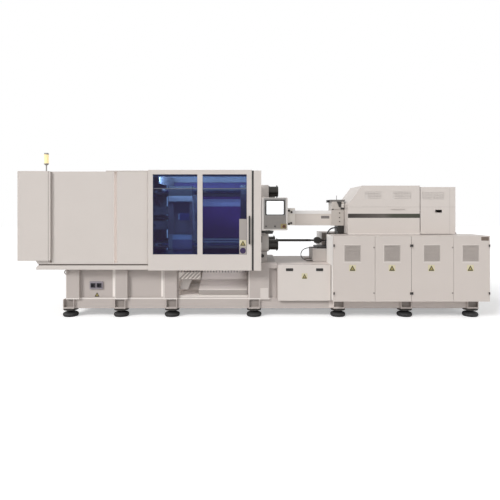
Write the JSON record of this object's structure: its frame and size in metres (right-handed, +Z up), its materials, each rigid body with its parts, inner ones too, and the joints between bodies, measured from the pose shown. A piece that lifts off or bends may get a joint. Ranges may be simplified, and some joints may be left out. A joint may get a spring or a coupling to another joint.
{
  "type": "injection moulding machine",
  "caption": "Long white injection moulding machine: guarded toggle clamp with a windowed sliding door, operator's panel, covered injection unit and louvred cabinets on levelling feet.",
  "frame": {"origin": "on the floor, midway along the machine and across it", "axes": "+X from the clamp's tail to the electrical cabinets, -Y the operator's side, +Z up"},
  "size_m": [7.58, 1.853, 2.692],
  "materials": {
    "cover_paint": "semi-gloss powder coat",
    "bed_paint": "semi-gloss paint",
    "cabinet_paint": "fine-textured powder coat",
    "platen_paint": "painted casting",
    "link_steel": "machined casting",
    "bright_steel": "machined",
    "hard_chrome": "ground and chromed",
    "black_metal": "black paint",
    "black_plastic": "matt",
    "pad_rubber": "matt",
    "tinted_pane": "tinted, clear",
    "panel_metal": "satin",
    "screen": "gloss",
    "keypad": "matt foil",
    "stop_red": "gloss",
    "lens_amber": "gloss",
    "beacon_grey": "matt"
  },
  "bodies": {
    "frame": {"clamp_bed": "bed_paint", "injection_bed": "bed_paint", "bed_covers": "bed_paint", "levelling_pads": "pad_rubber", "levelling_screws": "bright_steel", "product_chute": "bright_steel", "stationary_platen": "platen_paint", "tie_bars": "hard_chrome", "tie_bar_nuts": "black_metal", "guard_frame": "cover_paint", "clamp_cover_front": "cover_paint", "clamp_cover_middle": "cover_paint", "clamp_cover_rear": "cover_paint", "end_cover": "cover_paint", "lower_rails": "cover_paint", "fixed_panels": "cover_paint", "door_seals": "pad_rubber", "beacon_post": "beacon_grey", "beacon_lens": "lens_amber", "socket_unit": "black_plastic", "hmi_arm": "black_plastic", "nozzle_touch_bar": "black_metal", "cabinet_front": "cabinet_paint", "cabinet_rear": "cabinet_paint"},
    "front_door": {"front_door": "cover_paint", "front_door_glass": "tinted_pane", "front_door_handle": "black_plastic"},
    "rear_door": {"rear_door": "cover_paint"},
    "tail_platen": {"tail_platen": "platen_paint", "clamp_motor": "black_metal"},
    "moving_platen": {"moving_platen": "platen_paint"},
    "ejector": {"ejector": "bright_steel"},
    "crosshead": {"crosshead": "link_steel"},
    "clamp_screw": {"clamp_screw": "hard_chrome"},
    "rear_link_upper": {"rear_link_upper": "link_steel"},
    "rear_link_lower": {"rear_link_lower": "link_steel"},
    "front_link_upper": {"front_link_upper": "link_steel"},
    "front_link_lower": {"front_link_lower": "link_steel"},
    "push_link_upper": {"push_link_upper": "link_steel"},
    "push_link_lower": {"push_link_lower": "link_steel"},
    "injection_unit": {"injection_carriage": "platen_paint", "barrel": "bright_steel", "barrel_cover": "bright_steel", "feed_throat": "bright_steel", "injection_cover": "cover_paint", "motor_cover": "cover_paint", "throat_conduit": "pad_rubber", "bed_hose": "pad_rubber"},
    "hopper_shutter": {"hopper_shutter": "black_plastic"},
    "pressure_plate": {"pressure_plate": "platen_paint"},
    "feed_screw": {"feed_screw": "bright_steel"},
    "injection_screw": {"injection_screw": "hard_chrome"},
    "hmi": {"hmi_case": "panel_metal", "hmi_screen": "screen", "hmi_keypad": "keypad"},
    "stop_button": {"stop_button": "stop_red"},
    "cabinet_door_1": {"cabinet_door_1": "cabinet_paint"},
    "cabinet_door_2": {"cabinet_door_2": "cabinet_paint"},
    "cabinet_door_3": {"cabinet_door_3": "cabinet_paint"},
    "cabinet_door_4": {"cabinet_door_4": "cabinet_paint"}
  },
  "joints": [
    {"name": "front_door_slide", "type": "slide", "parent": "frame", "child": "front_door", "axis": [-1, 0, 0], "range_m": [0, 1.54]},
    {"name": "rear_door_slide", "type": "slide", "parent": "frame", "child": "rear_door", "axis": [-1, 0, 0], "range_m": [0, 1.54]},
    {"name": "die_height_slide", "type": "slide", "parent": "frame", "child": "tail_platen", "axis": [-1, 0, 0], "range_m": [0, 0.3]},
    {"name": "clamp_stroke", "type": "slide", "parent": "tail_platen", "child": "moving_platen", "axis": [1, 0, 0], "range_m": [0, 0.56]},
    {"name": "ejector_slide", "type": "slide", "parent": "moving_platen", "child": "ejector", "axis": [1, 0, 0], "range_m": [0, 0.12]},
    {"name": "crosshead_slide", "type": "slide", "parent": "tail_platen", "child": "crosshead", "axis": [1, 0, 0], "range_m": [0, 0.342]},
    {"name": "clamp_screw_turn", "type": "hinge", "parent": "tail_platen", "child": "clamp_screw", "pos_m": [-2.5, 0, 1.62], "axis": [1, 0, 0], "range_deg": [0, 3080]},
    {"name": "rear_link_upper_pivot", "type": "hinge", "parent": "tail_platen", "child": "rear_link_upper", "pos_m": [-2.18, 0, 1.75], "axis": [0, 1, 0], "range_deg": [0, 59.3]},
    {"name": "rear_link_lower_pivot", "type": "hinge", "parent": "tail_platen", "child": "rear_link_lower", "pos_m": [-2.18, 0, 1.49], "axis": [0, 1, 0], "range_deg": [-59.3, 0]},
    {"name": "front_link_upper_pivot", "type": "hinge", "parent": "rear_link_upper", "child": "front_link_upper", "pos_m": [-1.949, 0, 2.20721], "axis": [0, 1, 0], "range_deg": [-118.5, 0]},
    {"name": "front_link_lower_pivot", "type": "hinge", "parent": "rear_link_lower", "child": "front_link_lower", "pos_m": [-1.949, 0, 1.03279], "axis": [0, 1, 0], "range_deg": [0, 118.5]},
    {"name": "push_link_upper_pivot", "type": "hinge", "parent": "crosshead", "child": "push_link_upper", "pos_m": [-1.90474, 0, 1.73], "axis": [0, 1, 0], "range_deg": [-56.8, 0]},
    {"name": "push_link_lower_pivot", "type": "hinge", "parent": "crosshead", "child": "push_link_lower", "pos_m": [-1.90474, 0, 1.51], "axis": [0, 1, 0], "range_deg": [0, 56.8]},
    {"name": "carriage_slide", "type": "slide", "parent": "frame", "child": "injection_unit", "axis": [1, 0, 0], "range_m": [0, 0.34]},
    {"name": "shutter_slide", "type": "slide", "parent": "injection_unit", "child": "hopper_shutter", "axis": [-1, 0, 0], "range_m": [0, 0.12]},
    {"name": "injection_slide", "type": "slide", "parent": "injection_unit", "child": "pressure_plate", "axis": [1, 0, 0], "range_m": [0, 0.2]},
    {"name": "feed_screw_turn", "type": "hinge", "parent": "pressure_plate", "child": "feed_screw", "pos_m": [1, 0, 1.62], "axis": [1, 0, 0], "continuous": true},
    {"name": "injection_screw_turn", "type": "hinge", "parent": "injection_unit", "child": "injection_screw", "pos_m": [2.6, 0, 1.62], "axis": [1, 0, 0], "range_deg": [0, 1805]},
    {"name": "hmi_swivel", "type": "hinge", "parent": "frame", "child": "hmi", "pos_m": [0.2566, -0.855, 1.4286], "axis": [0, 0, 1], "range_deg": [-60, 60]},
    {"name": "stop_press", "type": "slide", "parent": "hmi", "child": "stop_button", "axis": [0, 1, 0], "range_m": [0, 0.006], "stiffness_N_per_m": 800},
    {"name": "cabinet_door_1_hinge", "type": "hinge", "parent": "frame", "child": "cabinet_door_1", "pos_m": [1.294, -0.888, 0.8], "axis": [0, 0, 1], "range_deg": [-90, 0]},
    {"name": "cabinet_door_2_hinge", "type": "hinge", "parent": "frame", "child": "cabinet_door_2", "pos_m": [2.521, -0.888, 0.8], "axis": [0, 0, 1], "range_deg": [0, 90]},
    {"name": "cabinet_door_3_hinge", "type": "hinge", "parent": "frame", "child": "cabinet_door_3", "pos_m": [2.547, -0.888, 0.8], "axis": [0, 0, 1], "range_deg": [-90, 0]},
    {"name": "cabinet_door_4_hinge", "type": "hinge", "parent": "frame", "child": "cabinet_door_4", "pos_m": [3.779, -0.888, 0.8], "axis": [0, 0, 1], "range_deg": [0, 90]}
  ],
  "couplings": [
    {"joint": "crosshead_slide", "follows": "clamp_stroke", "ratio": 0.60962},
    {"joint": "clamp_screw_turn", "follows": "clamp_stroke", "rad_per_m": 95.758},
    {"joint": "rear_link_upper_pivot", "follows": "clamp_stroke", "rad_per_m": 1.8449},
    {"joint": "rear_link_lower_pivot", "follows": "clamp_stroke", "rad_per_m": -1.8449},
    {"joint": "front_link_upper_pivot", "follows": "clamp_stroke", "rad_per_m": -3.6898},
    {"joint": "front_link_lower_pivot", "follows": "clamp_stroke", "rad_per_m": 3.6898},
    {"joint": "push_link_upper_pivot", "follows": "clamp_stroke", "rad_per_m": -1.7676},
    {"joint": "push_link_lower_pivot", "follows": "clamp_stroke", "rad_per_m": 1.7676},
    {"joint": "injection_screw_turn", "follows": "injection_slide", "rad_per_m": 157.08}
  ]
}
